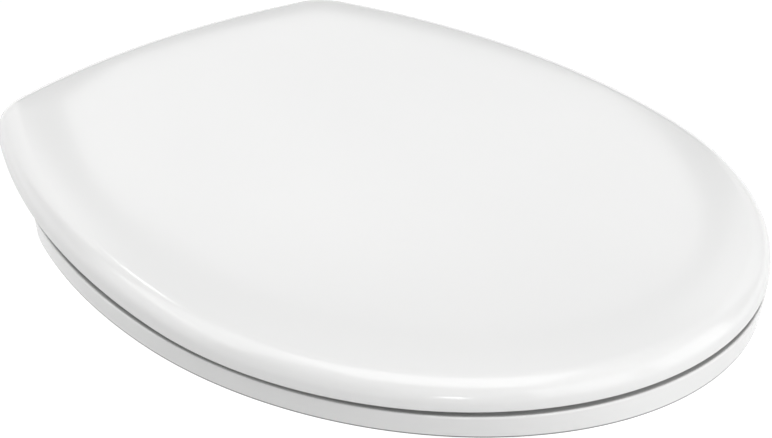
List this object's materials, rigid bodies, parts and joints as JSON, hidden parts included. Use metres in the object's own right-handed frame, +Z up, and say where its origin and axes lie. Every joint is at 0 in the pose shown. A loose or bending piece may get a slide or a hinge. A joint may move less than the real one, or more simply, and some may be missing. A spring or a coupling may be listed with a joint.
{
  "type": "toilet seat",
  "caption": "Closed toilet seat: a domed white lid with a rolled edge over an egg-shaped ring, both hinged at the back on bolted-down hinge bases.",
  "frame": {"origin": "midway between the two fixing bolts, on the bowl's deck under the hinge gaskets", "axes": "+X to the right seen from the front, +Y towards the hinge at the back, +Z up"},
  "size_m": [0.372, 0.46, 0.1054],
  "materials": {
    "white_resin": "polished moulded thermosetting resin",
    "hinge_plastic": "moulded, semi-gloss",
    "buffer_rubber": "soft, matt",
    "nylon": "moulded, satin",
    "gasket_rubber": "black, matt",
    "stainless_steel": "drawn, satin"
  },
  "bodies": {
    "hinges": {"hinge_base_left": "hinge_plastic", "hinge_base_right": "hinge_plastic", "base_gasket_left": "gasket_rubber", "base_gasket_right": "gasket_rubber", "bolt_cap_left": "hinge_plastic", "bolt_cap_right": "hinge_plastic", "hinge_pin_left": "stainless_steel", "hinge_pin_right": "stainless_steel", "fixing_bolts": "stainless_steel", "cone_washers": "gasket_rubber", "flat_washers": "nylon", "wing_nuts": "nylon"},
    "seat": {"seat_ring": "white_resin", "seat_buffer_front_left": "buffer_rubber", "seat_buffer_front_right": "buffer_rubber", "seat_buffer_back_left": "buffer_rubber", "seat_buffer_back_right": "buffer_rubber", "seat_bush_left": "nylon", "seat_bush_right": "nylon"},
    "lid": {"lid": "white_resin", "lid_buffer_front_left": "buffer_rubber", "lid_buffer_front_right": "buffer_rubber", "lid_buffer_back_left": "buffer_rubber", "lid_buffer_back_right": "buffer_rubber", "lid_bush_left": "nylon", "lid_bush_right": "nylon"}
  },
  "joints": [
    {"name": "seat_hinge", "type": "hinge", "parent": "hinges", "child": "seat", "pos_m": [0, 0.03, 0.022], "axis": [-1, 0, 0], "range_deg": [0, 95]},
    {"name": "lid_hinge", "type": "hinge", "parent": "seat", "child": "lid", "pos_m": [0, 0.03, 0.022], "axis": [-1, 0, 0], "range_deg": [0, 100]}
  ]
}
